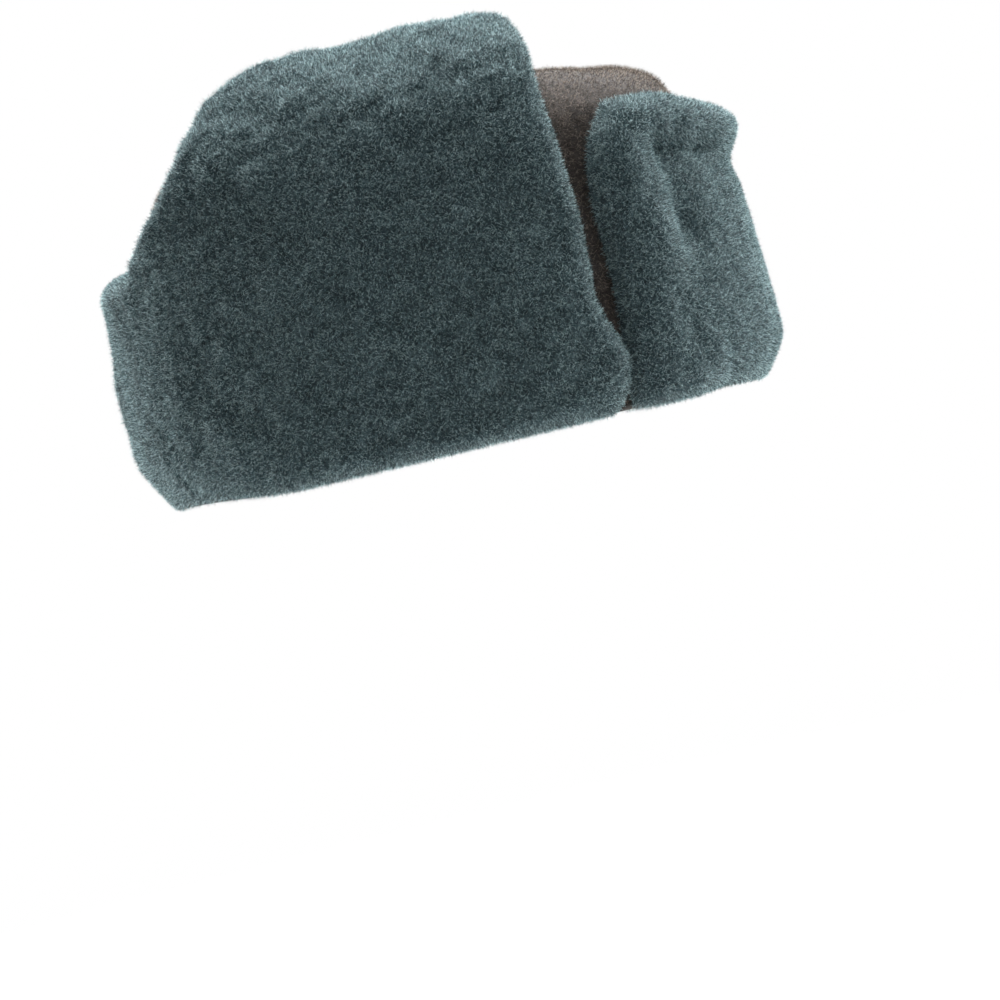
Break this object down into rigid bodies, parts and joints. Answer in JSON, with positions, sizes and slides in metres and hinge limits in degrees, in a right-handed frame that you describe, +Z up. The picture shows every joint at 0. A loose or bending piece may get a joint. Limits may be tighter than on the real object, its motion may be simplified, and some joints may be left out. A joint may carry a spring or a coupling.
{
  "type": "fur flap hat",
  "caption": "Winter hat with a felt crown, a folded-up fur visor, fur ear flaps that curl in over the crown and a fur neck flap; each flap folds down.",
  "frame": {"origin": "centre of the head opening on the rim plane", "axes": "+X to the hat's front, +Y to the wearer's left, +Z up through the crown"},
  "size_m": [0.256, 0.216, 0.1582],
  "materials": {
    "fur": "sheared blue-grey fur",
    "felt": "brown-grey wool felt",
    "canvas": "stiff cotton canvas",
    "wadding": "loose cotton wadding",
    "lining": "quilted satin",
    "leather": "smooth thin leather",
    "tape": "woven cotton tape"
  },
  "bodies": {
    "hat": {"crown_top_panel": "felt", "crown_front_panel": "felt", "crown_back_panel": "felt", "crown_left_panel": "felt", "crown_right_panel": "felt", "crown_interlining": "canvas", "crown_wadding": "wadding", "lining_top": "lining", "lining_front_panel": "lining", "lining_back_panel": "lining", "lining_left_panel": "lining", "lining_right_panel": "lining", "sweatband": "leather", "rim_binding": "tape"},
    "visor": {"visor_fur": "fur", "visor_backing": "felt", "visor_interlining": "canvas"},
    "neck_flap": {"neck_flap_fur": "fur", "neck_flap_backing": "felt", "neck_flap_interlining": "canvas"},
    "right_ear_flap": {"right_ear_flap_fur": "fur", "right_ear_flap_backing": "felt", "right_ear_flap_interlining": "canvas"},
    "right_ear_tip": {"right_ear_tip_fur": "fur", "right_ear_tip_backing": "felt", "right_tie_loop": "tape"},
    "left_ear_flap": {"left_ear_flap_fur": "fur", "left_ear_flap_backing": "felt", "left_ear_flap_interlining": "canvas"},
    "left_ear_tip": {"left_ear_tip_fur": "fur", "left_ear_tip_backing": "felt", "left_tie_loop": "tape"}
  },
  "joints": [
    {"name": "visor_fold", "type": "hinge", "parent": "hat", "child": "visor", "pos_m": [0.1138, 0, 0], "axis": [0, 1, 0], "range_deg": [0, 100]},
    {"name": "neck_flap_fold", "type": "hinge", "parent": "hat", "child": "neck_flap", "pos_m": [-0.1138, 0, 0], "axis": [0, -1, 0], "range_deg": [0, 165]},
    {"name": "right_ear_fold", "type": "hinge", "parent": "hat", "child": "right_ear_flap", "pos_m": [0, -0.0938, 0], "axis": [1, 0, 0], "range_deg": [0, 165]},
    {"name": "right_ear_tip_bend", "type": "hinge", "parent": "right_ear_flap", "child": "right_ear_tip", "pos_m": [0, -0.1052, 0.1152], "axis": [1, 0, 0], "range_deg": [0, 65]},
    {"name": "left_ear_fold", "type": "hinge", "parent": "hat", "child": "left_ear_flap", "pos_m": [0, 0.0938, 0], "axis": [-1, 0, 0], "range_deg": [0, 165]},
    {"name": "left_ear_tip_bend", "type": "hinge", "parent": "left_ear_flap", "child": "left_ear_tip", "pos_m": [0, 0.1052, 0.1152], "axis": [-1, 0, 0], "range_deg": [0, 65]}
  ],
  "couplings": [
    {"joint": "right_ear_tip_bend", "follows": "right_ear_fold", "ratio": 0.39},
    {"joint": "left_ear_tip_bend", "follows": "left_ear_fold", "ratio": 0.39}
  ]
}
